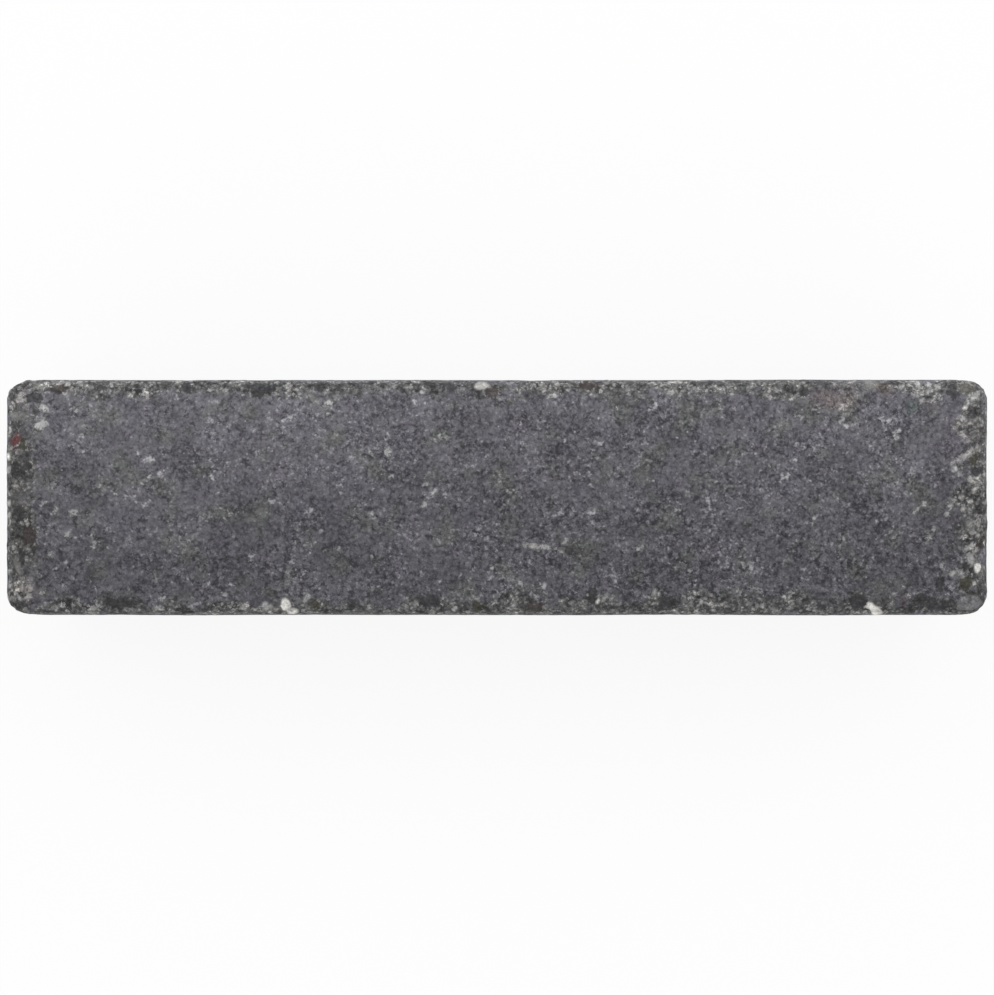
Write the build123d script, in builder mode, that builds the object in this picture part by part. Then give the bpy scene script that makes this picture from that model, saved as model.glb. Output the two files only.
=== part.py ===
"""Tumbled concrete paving brick: one pressed concrete block whose corners and arrises a tumbling drum has worn.

The brick lies as it is laid, wear face up. The origin is at the middle of the bed face, X runs along the
brick, Y across it and Z up. Lengths are in millimetres.
"""

import os
from math import sqrt
from typing import NamedTuple

from build123d import *

# The pressed block, before tumbling
LENGTH = 200.0
WIDTH = 48.0
HEIGHT = 60.0

# Radii of the four upright corners, each worn by its own amount, looking down on the wear face
BACK_LEFT_CORNER = 4.4
BACK_RIGHT_CORNER = 4.3
FRONT_LEFT_CORNER = 4.2
FRONT_RIGHT_CORNER = 4.6

# Radii to which tumbling rounds the arrises round the wear face and round the bed face
FACE_ARRIS_RADIUS = 2.4
BED_ARRIS_RADIUS = 2.8


class Chip(NamedTuple):
    """A conchoidal chip knocked out of an arris of the wear face."""

    side: tuple[int, int]  # outward direction of the side, in X and Y
    along: float  # place on that side, as a share of it from its middle
    length: float  # length of the scar along the arris
    depth: float  # depth of the scar below the worn arris


BACK = (0, 1)
FRONT = (0, -1)
LEFT_END = (-1, 0)
RIGHT_END = (1, 0)

CHIPS = [
    Chip(BACK, -0.450, 9.0, 0.9),
    Chip(BACK, -0.385, 6.0, 0.5),
    Chip(BACK, -0.240, 8.0, 0.7),
    Chip(BACK, 0.008, 9.0, 0.9),
    Chip(BACK, 0.095, 7.0, 0.6),
    Chip(BACK, 0.265, 6.0, 0.4),
    Chip(BACK, 0.435, 10.0, 0.9),
    Chip(FRONT, -0.380, 10.0, 1.0),
    Chip(FRONT, -0.195, 6.0, 0.5),
    Chip(FRONT, -0.055, 7.0, 0.6),
    Chip(FRONT, 0.180, 9.0, 0.9),
    Chip(FRONT, 0.360, 8.0, 0.8),
    Chip(FRONT, 0.440, 11.0, 1.2),
    Chip(LEFT_END, 0.340, 11.0, 1.5),
    Chip(LEFT_END, -0.120, 9.0, 1.0),
    Chip(LEFT_END, -0.320, 11.0, 1.2),
    Chip(RIGHT_END, 0.390, 9.0, 1.1),
    Chip(RIGHT_END, 0.160, 10.0, 1.7),
    Chip(RIGHT_END, -0.290, 13.0, 1.8),
]

# Along the diagonal between two square faces, a round of radius 1 lies this far inside their sharp edge
DIAGONAL_SETBACK = sqrt(2) - 1


def ball_radius(chip: Chip) -> float:
    """Radius of the ball that leaves a scar of the chip's length and depth."""
    return (chip.length**2 / 4 + chip.depth**2) / (2 * chip.depth)


def ball_centre(chip: Chip) -> Vector:
    """Where that ball stands: outside the arris, on the diagonal between the side and the wear face."""
    side_x, side_y = chip.side
    arris = Vector(
        side_x * LENGTH / 2 + abs(side_y) * chip.along * LENGTH,
        side_y * WIDTH / 2 + abs(side_x) * chip.along * WIDTH,
        HEIGHT,
    )
    outward = Vector(side_x, side_y, 1).normalized()
    return arris + outward * (ball_radius(chip) - chip.depth - DIAGONAL_SETBACK * FACE_ARRIS_RADIUS)


with BuildPart() as paving_brick:
    with BuildSketch() as plan:
        Rectangle(LENGTH, WIDTH)
        for end, side, radius in (
            (-1, 1, BACK_LEFT_CORNER),
            (1, 1, BACK_RIGHT_CORNER),
            (-1, -1, FRONT_LEFT_CORNER),
            (1, -1, FRONT_RIGHT_CORNER),
        ):
            sharp_corner = (end * LENGTH / 2, side * WIDTH / 2)
            fillet(plan.vertices().sort_by_distance(sharp_corner)[0], radius)
    extrude(amount=HEIGHT)
    fillet(paving_brick.faces().sort_by(Axis.Z)[-1].edges(), FACE_ARRIS_RADIUS)
    fillet(paving_brick.faces().sort_by(Axis.Z)[0].edges(), BED_ARRIS_RADIUS)
    for chip in CHIPS:
        with Locations(ball_centre(chip)):
            Sphere(ball_radius(chip), mode=Mode.SUBTRACT)

paving_brick.part.label = "paving_brick"

os.makedirs("parts", exist_ok=True)
export_step(paving_brick.part, "parts/paving_brick.step")
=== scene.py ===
"""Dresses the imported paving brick: tumbled concrete on white paper, in soft light, seen from above."""

import bpy
import numpy as np
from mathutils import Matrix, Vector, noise


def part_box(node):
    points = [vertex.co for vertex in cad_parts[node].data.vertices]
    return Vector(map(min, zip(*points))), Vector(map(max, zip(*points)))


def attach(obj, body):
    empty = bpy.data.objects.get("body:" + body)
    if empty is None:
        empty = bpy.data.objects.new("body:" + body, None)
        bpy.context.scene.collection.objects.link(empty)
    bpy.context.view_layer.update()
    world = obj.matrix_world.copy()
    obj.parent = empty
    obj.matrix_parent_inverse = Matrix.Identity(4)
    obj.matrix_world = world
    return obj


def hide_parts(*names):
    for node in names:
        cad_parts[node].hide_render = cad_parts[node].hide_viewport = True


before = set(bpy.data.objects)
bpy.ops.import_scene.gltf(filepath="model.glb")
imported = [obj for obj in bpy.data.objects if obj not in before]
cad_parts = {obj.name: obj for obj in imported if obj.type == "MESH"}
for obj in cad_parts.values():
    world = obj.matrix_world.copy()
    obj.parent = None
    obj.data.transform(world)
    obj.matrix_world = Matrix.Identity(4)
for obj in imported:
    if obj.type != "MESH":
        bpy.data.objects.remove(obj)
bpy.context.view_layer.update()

# The brick: one block of dry charcoal concrete, pressed in a steel mould and cured, then tumbled in a
# drum with its like. The mould leaves flat sandy faces. The drum breaks the arrises back to sand and small
# stones.
brick_low, brick_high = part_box("paving_brick")
BRICK_LENGTH, BRICK_WIDTH, BRICK_HEIGHT = brick_high - brick_low
MM = 0.001
SAND_SPACING = 1.1 * MM
ARRIS_WEAR_REACH = 4.5
END_WEAR_SHARE = 0.6
WEAR_FACE_DEPTH = 1.0
MERGE_GAP = 0.001 * MM

worn_brick = bpy.data.objects.new("tumbled_brick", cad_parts["paving_brick"].data.copy())
bpy.context.scene.collection.objects.link(worn_brick)
bpy.ops.object.select_all(action="DESELECT")
worn_brick.select_set(True)
bpy.context.view_layer.objects.active = worn_brick
bpy.ops.object.mode_set(mode="EDIT")
bpy.ops.mesh.select_all(action="SELECT")
bpy.ops.mesh.remove_doubles(threshold=MERGE_GAP)
bpy.ops.object.mode_set(mode="OBJECT")

sand_mesh = worn_brick.modifiers.new("sand_mesh", "REMESH")
sand_mesh.mode = "VOXEL"
sand_mesh.voxel_size = SAND_SPACING
bpy.ops.object.modifier_apply(modifier="sand_mesh")


def depth_below_arris(places):
    """How far places on the brick lie from its nearest arris, in millimetres: their second least depth
    below a pair of faces. The ends count for less, because the drum wears them further in."""
    middle = np.array(brick_low + brick_high) / 2 / MM
    half_size = np.array(brick_high - brick_low) / 2 / MM
    depths = (half_size - np.abs(places - middle)) * (END_WEAR_SHARE, 1, 1)
    return np.sort(depths, axis=1)[:, 1]


# The worn arrises and the whole wear face get a mesh of half the spacing
face_middles = np.array([face.center for face in worn_brick.data.polygons]) / MM
worn_faces = depth_below_arris(face_middles) < ARRIS_WEAR_REACH
worn_faces |= face_middles[:, 2] > brick_high.z / MM - WEAR_FACE_DEPTH
worn_brick.data.polygons.foreach_set("select", worn_faces)
bpy.ops.object.mode_set(mode="EDIT")
bpy.ops.mesh.select_mode(type="FACE")
bpy.ops.mesh.subdivide(number_cuts=1)
bpy.ops.object.mode_set(mode="OBJECT")

points = np.array([point.co for point in worn_brick.data.vertices]) / MM
arris_depth = depth_below_arris(points)


def linear(hex_colour):
    """The linear red, green, blue and opacity of an sRGB colour written as a hex string."""
    shares = [int(hex_colour[start : start + 2], 16) / 255 for start in (0, 2, 4)]
    return [s / 12.92 if s <= 0.04045 else ((s + 0.055) / 1.055) ** 2.4 for s in shares] + [1]


# Rocks of the mix, each with its colour and with how frayed the rim of its stones is: clear quartz breaks
# cleanly, cloudy quartz crumbles
ROCKS = {
    "basalt": ("3E3E40", 0.65), "slate": ("54545A", 0.65), "olive_stone": ("45443B", 0.65),
    "sandstone": ("61605B", 0.65), "limestone": ("7A7A7C", 0.65), "chert": ("443F3E", 0.65),
    "jasper": ("664041", 0.65), "grey_quartz": ("7D7D7B", 1.0), "pale_quartz": ("AFAFAE", 1.0),
    "clear_quartz": ("ACAAA7", 0.25), "white_quartz": ("DDDBD6", 0.25),
}
# Stones that the drum has laid bare round the wear face, by their rock. Each has its place from the
# middle of the face and its two half sizes, in millimetres, and its turn in degrees.
bared_stones = {
    "basalt": (
        (-94.1, 20.3, 1.9, 1.3, 0), (-76.1, -21.5, 3.4, 1.5, 0), (86.2, -21.2, 1.5, 2.1, 0),
        (89.8, -22.2, 2.6, 1.3, 0), (-63, 22.4, 1.8, 1.1, 0), (-47.9, 22.3, 3.2, 1.4, 0),
        (-9.4, 22.9, 2.0, 0.8, 0), (62.6, 21.1, 0.8, 1.3, 0), (92.6, 21.7, 1.3, 1.8, 0),
        (-95.9, 6.2, 1.5, 1.0, 0), (-96.9, -12.0, 1.0, 2.3, 10), (-97.3, -2.8, 1.3, 1.6, 0),
        (-96.0, -21.8, 1.6, 0.9, 0), (73.6, -21.4, 2.2, 1.9, 0), (34.9, -21.6, 2.2, 1.7, 0),
        (-13.7, -21.1, 2.2, 1.5, 0), (65.9, -22.6, 1.2, 0.8, 0), (-80, 22.3, 2.0, 0.8, 0),
        (19.6, -19.8, 1.2, 1.8, 0), (97.9, 5.2, 1.3, 1.2, 0), (95.5, -14.1, 1.2, 0.9, 0),
        (-91.8, 16.8, 0.8, 0.8, 0), (-98.5, 15.0, 1.2, 1.0, 0), (-98.5, 5.4, 0.8, 1.2, 0),
        (97.5, -8.8, 1.1, 1.0, 0), (90.1, -17.9, 0.9, 1.8, 0), (-85.7, -4.6, 0.6, 1.1, 0),
        (-86.5, 2, 1.5, 0.6, -12), (14.4, -11.0, 1.5, 0.7, -10)),
    "slate": (
        (-48.8, -20.9, 3.2, 1.6, 0), (-9.0, 20.6, 1.4, 0.9, 0), (59.6, 18.2, 1, 0.8, 0),
        (-96.9, 13.3, 0.8, 0.8, 0)),
    "olive_stone": (
        (-96.5, 10.9, 0.9, 1.3, 0), (97.4, 8.0, 1.2, 1.2, 0), (95.3, -17.5, 1.4, 1.7, 0),
        (-36.9, -21.9, 1.3, 1.2, 0), (-4.1, -22.2, 1.1, 1.3, 0)),
    "sandstone": ((95.7, 22.1, 1.6, 1.2, 0),),
    "limestone": ((96.2, -21.6, 2.5, 1.7, 10),),
    "chert": (
        (-89.2, 22.5, 1.9, 1.1, 0), (18.6, 22.8, 2.0, 1.1, 0), (7.8, -22.4, 2.0, 1.1, 0),
        (-1.0, 21.6, 1.8, 1.2, 0), (98.8, -9.6, 1.0, 1.3, 0), (-95.2, -7.9, 1.5, 2.3, 0)),
    "jasper": ((-98.1, 11.7, 1.0, 1.4, 0),),
    "grey_quartz": (
        (-97.5, 16.7, 1.8, 0.8, 0), (-97.9, -13.6, 0.8, 1.9, 20), (96.2, -5.6, 0.8, 1.2, 0),
        (-93.0, 23.0, 1.4, 0.7, 0), (76.0, 23.3, 1.4, 1.1, 0)),
    "pale_quartz": (
        (-92.6, 18.4, 1.5, 0.7, -25), (-34.3, 19.1, 0.7, 0.4, 40), (-22.0, 9.3, 0.8, 0.9, 0),
        (-13.2, 0.6, 1.6, 0.4, 42), (11.5, 20.9, 1.1, 0.5, 15), (94.9, 8.2, 2.6, 0.5, 30),
        (96.7, -9.9, 1.2, 0.5, 30), (-47.1, -22.0, 1.3, 0.8, -40), (-39.0, -20.7, 1.1, 0.6, 40),
        (97.0, 20.5, 1.6, 0.6, 33), (-86.4, -3.2, 1, 0.5, 0), (-92.9, 14.7, 1.2, 0.8, 20),
        (9.0, -10.2, 0.9, 0.4, -5), (10.7, -10.2, 0.7, 0.4, -40), (12.8, -10.9, 1.2, 0.3, -25),
        (96.7, -12.7, 0.9, 1.2, 0), (94.6, -15.8, 0.9, 0.5, -40), (94.7, 16.0, 0.6, 0.4, -40)),
    "clear_quartz": (
        (-3.0, 22.9, 1.6, 0.9, 0), (7.3, -9.9, 1.0, 0.7, 0), (93.4, 5.9, 0.7, 0.5, -50),
        (96.5, 3.5, 0.9, 0.6, -20), (97.2, 1.5, 0.6, 0.5, 10), (98.2, -7.7, 0.5, 0.5, 0),
        (96.7, -9.8, 0.8, 0.5, 40), (92.7, -15.4, 0.8, 0.6, 30), (-99.8, 5.5, 0.6, 0.8, 0),
        (-99.8, -1.2, 0.6, 0.8, 0), (-99.8, -3.6, 0.5, 0.6, 0)),
    "white_quartz": (
        (-43.1, -22.0, 1.1, 1.6, 0), (-41.8, -23.4, 1.3, 0.6, 0), (76.4, -22.7, 2.4, 1.0, -33),
        (20.6, -20.9, 0.5, 0.8, -15), (98.3, -14.4, 0.9, 1.0, 0), (95.2, 18.3, 0.6, 0.5, 20),
        (97.3, -17.3, 0.6, 0.5, 0), (-99.8, 8.4, 0.6, 0.8, 0)),
}
# Pale grains of quartz, each with its place
pale_grains = (
    (-96.9, 20.9), (-97.7, 19.5), (-96.3, 19.7), (-94.9, 21.9), (-93.2, 16.2), (-92.0, 15.4),
    (-90.0, 22.1), (-89.2, 23.7), (-87.7, 23.3), (-95.7, -5.0), (-95.5, -10.5), (-98.8, -10.1),
    (-99.7, -15.0), (-95.3, -16.7), (-96.9, -18.5), (-94.9, -18.3), (-97.3, -20.5), (-95.3, -20.1),
    (-92.6, -19.3), (-88.8, -22.2), (-85.4, -21.3), (-87.5, -23.4), (-82.4, -23.2), (-81.0, -22.6),
    (-89.8, -2.6), (-87.3, -7.5), (-90.8, -11.6), (5.9, -9.9), (80.2, -19.9), (80.0, -21.8),
    (83.9, -20.1), (-83.2, -12.8), (-88.3, -18.5), (-84.5, 12.5), (-14.9, -1.4), (-78.7, 23.3),
    (-68.3, -20.5), (-25.9, -22.4), (-8.7, -22.8), (3.5, -22.2), (31.9, -19.5), (35.5, 21.3),
    (54.1, -22.2), (63.3, -22.4), (82.3, 22.7), (86.0, 23.5), (88.2, 23.1), (89.8, 22.7), (88.0, 21.7),
    (85.7, 21.3), (90.0, 20.5), (89.2, 19.7), (94.3, 4.6), (86.8, -1.4), (85.1, -2.8), (88.8, -6.5),
    (87.8, -8.1), (92.1, -1.6), (91.5, -3.2), (97.2, -7.3), (98.0, -10.7),
)
GRAIN_HALF_SIZE = 0.5
STONE_DEPTH = 4.0
FACE_LEVEL = brick_high.z / MM
# The outline gives the photograph's scale. The face is nearer the camera, so a stone on it lies only this
# share as far out as it looks.
FACE_SHARE = 0.9957
NO_STONE_NEAR = 9.0


def bent_points(size, amount):
    """The points, moved to and fro in waves of a size and by an amount, to make a shape on them ragged."""
    bends = [noise.noise_vector(point.co / MM / size) for point in worn_brick.data.vertices]
    return points + amount * np.array(bends)


def reach_of(bent, middle, half_sizes, turn):
    """How far each bent point lies from the middle of an ellipsoid, as a share of its size that way."""
    cosine, sine = np.cos(np.radians(turn)), np.sin(np.radians(turn))
    along, across, up = (bent - middle).T
    turned = np.stack((along * cosine + across * sine, across * cosine - along * sine, up), axis=1)
    return np.linalg.norm(turned / half_sizes, axis=1)


def reach_on_face(bent, x, y, half_long, half_wide, turn):
    """The same for an ellipsoid set a little below the wear face."""
    middle = (x * FACE_SHARE, y * FACE_SHARE, FACE_LEVEL - STONE_DEPTH / 4)
    return reach_of(bent, middle, (half_long, half_wide, STONE_DEPTH), turn)


BEND_SEED = 5
noise.seed_set(BEND_SEED)
broken_points = bent_points(size=1.8, amount=0.35)
stone_gap = np.full(len(points), NO_STONE_NEAR)
stone_colour = np.zeros((len(points), 3))
stone_fray = np.ones(len(points))


def bare_stone(rock, reach, half_size):
    """Shows a stone at the points that are closer to its rim than to any other's."""
    colour, fray = ROCKS[rock]
    gap = (reach - 1) * half_size
    closer = gap < stone_gap
    stone_gap[closer] = gap[closer]
    stone_colour[closer] = linear(colour)[:3]
    stone_fray[closer] = fray


for rock, stones in bared_stones.items():
    for stone in stones:
        bare_stone(rock, reach_on_face(broken_points, *stone), min(stone[2:4]))
for x, y in pale_grains:
    reach = reach_on_face(broken_points, x, y, GRAIN_HALF_SIZE, GRAIN_HALF_SIZE, 0)
    bare_stone("pale_quartz", reach, GRAIN_HALF_SIZE)

# Smaller stones in the broken concrete of every other arris
SMALL_STONES = 500
SMALL_STONE_HALF_SIZES = (0.6, 1.5)
SMALL_STONE_REACH = 2.6
FACE_ARRIS_HEIGHT = 3.0
chance = np.random.default_rng(5)
rock_shares = {
    "basalt": 0.30, "slate": 0.24, "olive_stone": 0.08, "sandstone": 0.08, "chert": 0.10,
    "grey_quartz": 0.12, "pale_quartz": 0.08,
}
below_face = points[:, 2] < FACE_LEVEL - FACE_ARRIS_HEIGHT
bared_points = np.nonzero((arris_depth < SMALL_STONE_REACH) & below_face)[0]
for number in chance.choice(bared_points, SMALL_STONES):
    rock = chance.choice(list(rock_shares), p=list(rock_shares.values()))
    half_sizes = chance.uniform(*SMALL_STONE_HALF_SIZES, 3)
    reach = reach_of(broken_points, points[number], half_sizes, chance.uniform(0, 180))
    bare_stone(rock, reach, half_sizes.min())

# Stretches where the drum has crushed the concrete to pale crumbs, or knocked it out to hollows painted
# dark as shade, each fading out at its edge
CRUSHED = 1.0
KNOCKED_OUT = -2.0
STRETCH_EDGE = 1.5
STRETCH_FADE = 1.1
crushed_stretches = (
    (86.4, 21.7, 5.5, 2.3, 0), (96.4, 1.0, 3.4, 7.0, 0), (97.0, -9.6, 2.8, 4.5, 0),
    (9.3, 22.8, 5.0, 1.1, 0), (44.0, 22.7, 4.0, 1.0, 0), (-71.3, 21.4, 3.6, 1.6, 0),
    (-42.2, 21.9, 2.2, 2.2, 0), (-93.2, 22.4, 2.2, 1.2, 0), (-95.8, -18.6, 3.2, 3.4, 0),
    (-54.0, -22.6, 5.5, 1.0, 0), (2.7, -20.2, 4.0, 3.2, 0), (33.3, -18.9, 4.0, 2.0, 0),
    (40.9, -20.2, 3.6, 3.2, 0), (60.3, -18.9, 2.6, 2.0, 0), (-83.0, -22.9, 4.0, 1.0, 0),
    (9.5, -10.2, 4.0, 0.8, -6), (24.0, -0.4, 6.0, 0.6, 3), (-22.5, 10.0, 1.8, 1.4, 0),
)
knocked_out_stretches = (
    (-96.7, -7.8, 2.8, 5.4, 0), (97.6, 17.2, 1.3, 1.0, 0), (97.2, 12.8, 2.0, 1.6, 0),
    (-97.2, 5.6, 1.6, 2.4, 0), (88.8, -21.4, 4.2, 2.2, 0), (-76.1, -21.5, 3.6, 1.8, 0),
    (-47.9, 22.2, 3.6, 1.7, 0), (-63.0, 22.4, 1.8, 1.2, 0), (73.6, -21.6, 2.6, 2.0, 0),
    (34.9, -22.0, 2.6, 1.6, 0), (-13.7, -21.3, 2.6, 1.7, 0), (60.0, 21.6, 2.4, 1.6, 0),
    (-87.5, -22.2, 2.6, 1.1, 0), (97.6, 6.8, 1.6, 2.4, 0),
)
frayed_points = bent_points(size=4.0, amount=1.6)
crushing_and_hollow_shade = np.zeros(len(points))
for stretches, effect in ((crushed_stretches, CRUSHED), (knocked_out_stretches, KNOCKED_OUT)):
    for stretch in stretches:
        inside = STRETCH_EDGE - reach_on_face(frayed_points, *stretch)
        crushing_and_hollow_shade += effect * (inside / STRETCH_FADE).clip(0, 1)
crushing_and_hollow_shade = crushing_and_hollow_shade.clip(KNOCKED_OUT, CRUSHED)

# Stains and bruises of the wear face, each with its place, half sizes and turn, and with what it leaves
# of red, green and blue
STAIN_EDGE = 1.3
STAIN_FADE = 0.9
stains = (
    (68.4, 19.9, 5.0, 2.6, 0, (1.28, 1.15, 1.06)), (78.6, 21.5, 2.4, 1.6, 0, (1.22, 1.10, 1.01)),
    (-97.3, 20.3, 2.0, 2.4, 0, (1.03, 0.98, 0.98)), (-95.3, -18.9, 3.2, 3.6, 0, (1.02, 0.98, 0.97)),
    (83.1, -21.4, 1.7, 2.0, 0, (1.05, 0.95, 0.93)), (87.8, 18.6, 1.2, 1.4, 0, (0.88, 0.78, 0.77)),
    (83.8, 18.0, 1.6, 1.6, 0, (0.86, 0.98, 0.86)), (51.0, -6.7, 2.8, 3.3, 0, (0.80, 0.80, 0.82)),
    (37.4, -6.7, 2.2, 2.2, 0, (0.84, 0.84, 0.86)), (-65, 6, 34, 18, 0, (1.08, 1.08, 1.08)),
    (75, 8, 28, 15, 0, (1.06, 1.06, 1.06)), (-97, -4, 3, 16, 0, (1.02, 1.0, 0.98)),
    (96, 12, 4, 7, 0, (1.02, 1.0, 1.0)),
)
# Painted light pales the rim of the wear face all round
RIM_DEPTH = 2.5
RIM_PAINTED_LIGHT = 0.5
rim_painted_light = np.exp(-((FACE_LEVEL - points[:, 2] - RIM_DEPTH) ** 2))
stains_and_painted_rim_light = np.ones((len(points), 3)) * (1 + RIM_PAINTED_LIGHT * rim_painted_light[:, None])
for *stretch, left in stains:
    inside = STAIN_EDGE - reach_on_face(frayed_points, *stretch)
    stains_and_painted_rim_light *= 1 + (inside / STAIN_FADE).clip(0, 1)[:, None] * (np.array(left) - 1)

for name, kind, field, values in (
    ("arris_depth", "FLOAT", "value", arris_depth), ("crushing_and_hollow_shade", "FLOAT", "value", crushing_and_hollow_shade),
    ("stone_gap", "FLOAT", "value", stone_gap), ("stone_colour", "FLOAT_VECTOR", "vector", stone_colour),
    ("stone_fray", "FLOAT", "value", stone_fray), ("stains_and_painted_rim_light", "FLOAT_VECTOR", "vector", stains_and_painted_rim_light),
):
    attribute = worn_brick.data.attributes.new(name, kind, "POINT")
    attribute.data.foreach_set(field, values.astype(np.float32).ravel())

# The relief: waviness from the mould, breaks, flakes and grit where the drum has worn the arrises,
# hollows, stones left proud, and fine grit everywhere. Each has its pattern, the pattern's size and its
# height in millimetres, the pattern's level that stays in place, and where it acts.
STONE_RIM = 0.2
STONE_SHOULDER = 0.6
for name, weights in (
    ("arris_wear", 1 - arris_depth / ARRIS_WEAR_REACH),
    ("stones", (STONE_RIM - stone_gap) / STONE_SHOULDER),
    ("hollows", np.abs(crushing_and_hollow_shade / KNOCKED_OUT)),
):
    group = worn_brick.vertex_groups.new(name=name)
    for number, share in enumerate(weights.clip(0, 1)):
        group.add([number], float(share), "REPLACE")
for wear, basis, size, height, level, group in (
    ("mould_waviness", "BLENDER_ORIGINAL", 30, -0.25, 0.5, ""),
    ("arris_breakage", "VORONOI_F1", 4.5, -0.7, 0.1, "arris_wear"),
    ("arris_flakes", "VORONOI_F1", 1.9, -0.45, 0.1, "arris_wear"),
    ("arris_grit", "ORIGINAL_PERLIN", 1.0, -0.4, 0.4, "arris_wear"),
    ("crushed_hollows", "", 0, -0.4, 0, "hollows"),
    ("proud_stones", "", 0, 0.2, 0, "stones"),
    ("face_grit", "ORIGINAL_PERLIN", 2.0, -0.12, 0.5, ""),
):
    wearing = worn_brick.modifiers.new(wear, "DISPLACE")
    wearing.mid_level = level
    wearing.strength = height * MM
    wearing.vertex_group = group
    if basis:
        wearing.texture = bpy.data.textures.new(wear, "CLOUDS")
        wearing.texture.noise_basis = basis
        wearing.texture.noise_scale = size * MM
        wearing.texture.noise_depth = 1
        wearing.texture_coords = "LOCAL"
    bpy.ops.object.modifier_apply(modifier=wear)
for point in worn_brick.data.vertices:
    point.co.z = max(point.co.z, brick_low.z)
bpy.ops.object.shade_smooth()


def add_node(tree, kind, inputs=(), stops=(), **settings):
    """Adds a shader node with its settings and colour stops. Inputs are values or other nodes' outputs."""
    made = tree.nodes.new("ShaderNode" + kind)
    for name, value in settings.items():
        setattr(made, name, value)
    for number, (position, colour) in enumerate(stops):
        ramp = made.color_ramp.elements
        stop = ramp[number] if number < 2 else ramp.new(position)
        stop.position = position
        stop.color = linear(colour)
    for socket, value in inputs.items() if isinstance(inputs, dict) else enumerate(inputs):
        if isinstance(value, bpy.types.NodeSocket):
            tree.links.new(value, made.inputs[socket])
        else:
            made.inputs[socket].default_value = value
    return made.outputs


# Tumbled pressed concrete: charcoal-dyed cement and sand, matt all over. The skin is fine violet-grey sand
# with pits painted dark as shade, and pale bruises. Where the drum has broken it, dark and pale stones
# of 1 to 7 mm show.
concrete = bpy.data.materials.new("tumbled_charcoal_concrete")
concrete.use_nodes = True
mix = concrete.node_tree
mix.nodes.clear()
place = add_node(mix, "TexCoord")["Object"]
place = add_node(mix, "VectorMath", {"Vector": place, "Scale": 1 / MM}, operation="SCALE")[0]
along, across, _ = add_node(mix, "SeparateXYZ", [place])
half_length = BRICK_LENGTH / MM / 2
half_width = BRICK_WIDTH / MM / 2

# Cloudy patterns in the mix, each with its size in millimetres, its detail and its fineness
cloud = {}
for number, (name, size, detail, fineness) in enumerate((
    ("grit", 1.0, 3, 0.60), ("clumps", 3.2, 2, 0.60), ("drifts", 13.0, 1, 0.60),
    ("smoothing", 6.0, 1, 0.55), ("cast", 7.0, 1, 0.50), ("painted_pit_shade", 1.1, 2, 0.60),
    ("flecks", 1.7, 3, 0.65), ("fleck_groups", 8.0, 1, 0.50), ("ragged", 5.0, 3, 0.65),
    ("flakes", 1.5, 3, 0.65), ("flake_groups", 6.0, 1, 0.50), ("painted_crack_shade", 2.4, 2, 0.60),
)):
    aside = (37 * number, 91 * number, 53 * number)
    apart = add_node(mix, "VectorMath", [place, aside], operation="ADD")[0]
    cloud[name] = add_node(mix, "TexNoise", {
        "Vector": apart, "Scale": 1 / size, "Detail": detail, "Roughness": fineness})[0]


def add_layers(tone, *layers):
    """Adds layers to a tone, each from its average and by its share."""
    for layer, average, share in layers:
        layer = add_node(mix, "Math", [layer, average], operation="SUBTRACT")[0]
        tone = add_node(mix, "Math", [layer, share, tone], operation="MULTIPLY_ADD")[0]
    return tone


# Sand: rounded grains, each with its own tone, with painted shade: pale middles, dark gaps between them
SAND_GRAIN = 0.6
wander = add_node(mix, "TexNoise", {"Vector": place, "Scale": 1 / SAND_GRAIN, "Detail": 1})["Color"]
wander = add_node(mix, "VectorMath", [wander, (0.5, 0.5, 0.5)], operation="SUBTRACT")[0]
uneven = add_node(mix, "VectorMath", [place, wander], operation="ADD")[0]
sand = add_node(mix, "TexVoronoi", {"Vector": uneven, "Scale": 1 / SAND_GRAIN})
sand_tone, sand_speck, _ = add_node(mix, "SeparateColor", [sand["Color"]])
grain_and_gap_shade = add_layers(
    0.0, (sand_tone, 0.5, 0.40), (sand["Distance"], 0.45, -0.50), (cloud["grit"], 0.5, 1.05))

# The mould's plate leaves the sand smeared smooth in places, more so towards the back and the left end
roughened = add_node(mix, "MapRange", [cloud["smoothing"], 0.36, 0.64, 0.66, 1.08])[0]
front_share = add_node(mix, "MapRange", [across, -half_width, half_width, 1.10, 0.85])[0]
right_share = add_node(mix, "MapRange", [along, -half_length, 0, 0.76, 1.0])[0]
for share in (front_share, right_share):
    roughened = add_node(mix, "Math", [roughened, share], operation="MULTIPLY")[0]
tone = add_node(mix, "Math", [grain_and_gap_shade, roughened, 0.525], operation="MULTIPLY_ADD")[0]
tone = add_layers(tone, (cloud["clumps"], 0.5, 0.57), (cloud["drifts"], 0.5, 0.40))

# The skin: violet-grey cement over sand, faintly olive in spots
skin = add_node(mix, "ValToRGB", [tone], stops=(
    (0.05, "313035"), (0.25, "47464B"), (0.50, "5E5D62"), (0.72, "6F6E73"), (0.95, "959499")))[0]
cast = add_node(mix, "ValToRGB", [cloud["cast"]], stops=(
    (0.30, "FCFFF4"), (0.40, "FEFFFC"), (0.48, "FFFFFF"), (0.65, "FDFCFF")))[0]
skin = add_node(mix, "MixRGB", [1.0, skin, cast], blend_type="MULTIPLY")[0]

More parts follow.
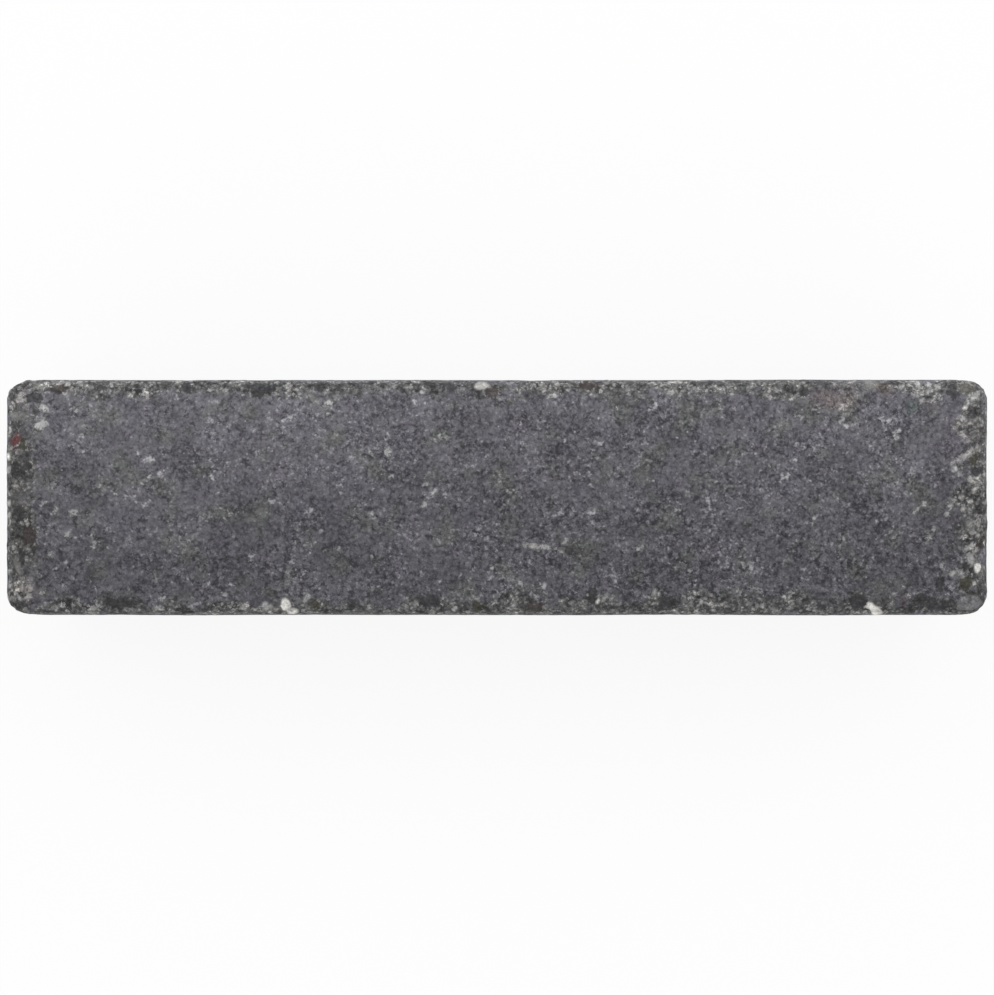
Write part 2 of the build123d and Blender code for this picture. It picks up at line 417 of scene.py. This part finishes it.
# Pits where the skin is rough, short hair cracks near them, both in painted shade, and pale flecks in
# groups
painted_crack_shade = add_node(mix, "Math", [cloud["painted_crack_shade"], 0.5, 0.035], operation="COMPARE")[0]
crack_shade_amount = add_node(mix, "MapRange", [cloud["painted_pit_shade"], 0.56, 0.40, 0, 0.65])[0]
painted_crack_shade = add_node(mix, "Math", [painted_crack_shade, crack_shade_amount], operation="MULTIPLY")[0]
skin = add_node(mix, "MixRGB", [painted_crack_shade, skin, linear("39383C")])[0]
painted_pit_shade = add_node(mix, "Math", [roughened, -0.10, cloud["painted_pit_shade"]], operation="MULTIPLY_ADD")[0]
painted_pit_shade = add_node(mix, "MapRange", [painted_pit_shade, 0.32, 0.24, 0, 0.75], interpolation_type="SMOOTHSTEP")[0]
skin = add_node(mix, "MixRGB", [painted_pit_shade, skin, linear("353438")])[0]
fleck_groups = add_node(mix, "MapRange", [cloud["fleck_groups"], 0.35, 0.65, -0.06, 0.06])[0]
flecks = add_node(mix, "Math", [cloud["flecks"], fleck_groups], operation="ADD")[0]
flecks = add_node(mix, "MapRange", [flecks, 0.62, 0.78, 0, 0.8], interpolation_type="SMOOTHSTEP")[0]
skin = add_node(mix, "MixRGB", [flecks, skin, linear("B0AFB1")])[0]

# The broken zone: ragged by its crumbs, and wider and narrower along each arris
CRUMB = 1.3
crumbs = add_node(mix, "TexVoronoi", {"Vector": uneven, "Scale": 1 / CRUMB})
crumb_tone, crumb_hold, _ = add_node(mix, "SeparateColor", [crumbs["Color"]])
crush_and_hollow_shade = add_node(mix, "Attribute", attribute_name="crushing_and_hollow_shade")["Fac"]
crush_reach = add_node(mix, "Math", [crush_and_hollow_shade], operation="ABSOLUTE")[0]
from_arris = add_node(mix, "Attribute", attribute_name="arris_depth")["Fac"]
from_break = add_layers(
    from_arris, (cloud["ragged"], 0.5, 13.0), (crumb_hold, 0.5, 1.6), (crush_reach, 0.0, -1.5))
broken = add_node(mix, "MapRange", [from_break, 3.8, 1.6, 0, 1], interpolation_type="SMOOTHSTEP")[0]

# The broken concrete: neutral grey sand and crumbs, from charcoal to nearly white, paler where crushed
rubble_grain = add_layers(
    0.0, (grain_and_gap_shade, 0.0, 0.75), (crumb_tone, 0.5, 0.30), (cloud["flakes"], 0.5, 1.3),
    (cloud["flake_groups"], 0.5, 0.4))
# Where knocked out, the rubble is darker and has fewer pale specks: painted shade in the hollows
rubble_contrast = add_layers(0.88, (crush_reach, 0.0, 0.24), (crush_and_hollow_shade, 0.0, 0.16))
rubble_tone = add_node(mix, "Math", [rubble_grain, rubble_contrast, 0.45], operation="MULTIPLY_ADD")[0]
rubble_tone = add_layers(rubble_tone, (crush_and_hollow_shade, 0.0, 0.08))
rubble = add_node(mix, "ValToRGB", [rubble_tone], stops=(
    (0.05, "2E2E2F"), (0.28, "424243"), (0.50, "5B5B5B"), (0.70, "7C7B7A"), (0.88, "A5A4A1"),
    (1.00, "CDCBC7")))[0]
specks = add_layers(sand_speck, (crush_and_hollow_shade, 0.0, 0.08), (cloud["flake_groups"], 0.5, 0.4))
specks = add_node(mix, "MapRange", [specks, 0.86, 1.02, 0, 0.50])[0]
rubble = add_node(mix, "MixRGB", [specks, rubble, linear("AFADAA")])[0]
colour = add_node(mix, "MixRGB", [broken, skin, rubble])[0]

# The bared stones, each in its rock's colour, with ragged rims and a little grain
rim_gap = add_node(mix, "Attribute", attribute_name="stone_gap")["Fac"]
rim_fray = add_node(mix, "Attribute", attribute_name="stone_fray")["Fac"]
frayed = add_layers(0.0, (sand_speck, 0.5, 0.5), (grain_and_gap_shade, 0.0, 1.0), (cloud["flakes"], 0.5, 1.6))
rim_gap = add_node(mix, "Math", [frayed, rim_fray, rim_gap], operation="MULTIPLY_ADD")[0]
bared = add_node(mix, "MapRange", [rim_gap, 0.16, -0.28, 0, 1], interpolation_type="SMOOTHSTEP")[0]
cleanness = add_node(mix, "MapRange", [rim_fray, 0.25, 1.0, 0.95, 0.78])[0]
bared = add_node(mix, "Math", [bared, cleanness], operation="MULTIPLY")[0]
stone = add_node(mix, "Attribute", attribute_name="stone_colour")["Color"]
stone_tone = add_layers(1.0, (grain_and_gap_shade, 0.0, 1.0), (cloud["clumps"], 0.5, 0.7))
stone = add_node(mix, "VectorMath", {"Vector": stone, "Scale": stone_tone}, operation="SCALE")[0]
colour = add_node(mix, "MixRGB", [bared, colour, stone])[0]

# Stains and painted rim light, then painted light and shade: darker to the front, paler by both long
# arrises
stain_and_rim_light = add_node(mix, "Attribute", attribute_name="stains_and_painted_rim_light")["Vector"]
colour = add_node(mix, "VectorMath", [colour, stain_and_rim_light], operation="MULTIPLY")[0]
painted_light_and_shade = add_node(mix, "MapRange", [across, -12, 8, 0.88, 1.09])[0]
for start, end, more in ((8, 24, 0.25), (-14, -22, 0.08)):
    painted_light_band = add_node(mix, "MapRange", [across, start, end, 0, more])[0]
    painted_light_and_shade = add_node(mix, "Math", [painted_light_and_shade, painted_light_band], operation="ADD")[0]
colour = add_node(mix, "VectorMath", {"Vector": colour, "Scale": painted_light_and_shade}, operation="SCALE")[0]

relief = add_node(mix, "Bump", {"Height": grain_and_gap_shade, "Strength": 0.8, "Distance": 0.4 * MM})[0]
surface = add_node(mix, "BsdfPrincipled", {
    "Base Color": colour, "Roughness": 0.92, "IOR": 1.5, "Specular IOR Level": 0.25, "Normal": relief})[0]
add_node(mix, "OutputMaterial", {"Surface": surface})
worn_brick.data.materials.clear()
worn_brick.data.materials.append(concrete)
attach(worn_brick, "root")
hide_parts("paving_brick")

# The floor: a sheet of white studio paper under the brick. It looks white to the camera and keeps the
# brick's shadow.
FLOOR_SIZE = 4.0
PAPER_GLOW = 0.87
bpy.ops.object.select_all(action="DESELECT")
bpy.ops.mesh.primitive_plane_add(size=FLOOR_SIZE, location=(0, 0, brick_low.z))
floor = bpy.context.object
floor.name = "floor"
paper = bpy.data.materials.new("white_studio_paper")
paper.use_nodes = True
sheet = paper.node_tree
sheet.nodes.clear()
rays = add_node(sheet, "LightPath")
seen = add_node(sheet, "Math", [rays["Is Camera Ray"], rays["Is Glossy Ray"]], operation="MAXIMUM")[0]
seen = add_node(sheet, "Math", [seen, rays["Is Transmission Ray"]], operation="MAXIMUM")[0]
glow = add_node(sheet, "Math", [seen, PAPER_GLOW], operation="MULTIPLY")[0]
lit_paper = add_node(sheet, "BsdfDiffuse", {"Color": linear("FAFAFA")})[0]
white = add_node(sheet, "Emission", {"Color": linear("FFFFFF"), "Strength": 1})[0]
shown = add_node(sheet, "MixShader", [glow, lit_paper, white])[0]
add_node(sheet, "OutputMaterial", {"Surface": shown})
floor.data.materials.append(paper)

# The light: a white room, and one long softbox close above the brick's back, which makes that side
# lighter.
SOFTBOX_LENGTH = 0.8
SOFTBOX_DEPTH = 0.4
SOFTBOX_PLACE = (0, 0.15, 0.50)
SOFTBOX_WATTS = 1.0
bpy.ops.object.light_add(type="AREA", location=SOFTBOX_PLACE)
softbox = bpy.context.object
softbox.name = "softbox"
softbox.data.shape = "RECTANGLE"
softbox.data.size = SOFTBOX_LENGTH
softbox.data.size_y = SOFTBOX_DEPTH
softbox.data.energy = SOFTBOX_WATTS
softbox.visible_camera = False
towards_brick = np.array([0, 0, BRICK_HEIGHT]) - np.array(SOFTBOX_PLACE)
softbox.rotation_euler[0] = np.arctan2(towards_brick[1], -towards_brick[2])

ROOM_STRENGTH = 0.78
room = bpy.data.worlds.new("white_room")
bpy.context.scene.world = room
room.use_nodes = True
walls = room.node_tree
walls.nodes.clear()
rays = add_node(walls, "LightPath")
strength = add_node(walls, "MapRange", [rays["Is Camera Ray"], 0, 1, ROOM_STRENGTH, 1])[0]
backdrop = add_node(walls, "Background", {"Color": linear("FFFFFF"), "Strength": strength})[0]
add_node(walls, "OutputWorld", {"Surface": backdrop})

# The camera: straight above, with the brick's back at the top, as far off as the photograph's scale
# needs.
PHOTO_LONG_SIDE = 995
BRICK_LENGTH_IN_PHOTO = 983.1
OUTLINE_BELOW_FACE = 2.4 * MM
LENS = 0.100
SENSOR = 0.036
seen_length = PHOTO_LONG_SIDE * BRICK_LENGTH / BRICK_LENGTH_IN_PHOTO
camera_height = brick_high.z - OUTLINE_BELOW_FACE + seen_length * LENS / SENSOR
bpy.ops.object.camera_add(location=(0, 0, camera_height), rotation=(0, 0, 0))
camera = bpy.context.object
camera.data.lens = LENS / MM
camera.data.sensor_width = SENSOR / MM
bpy.context.scene.camera = camera
bpy.context.scene.view_settings.view_transform = "Standard"
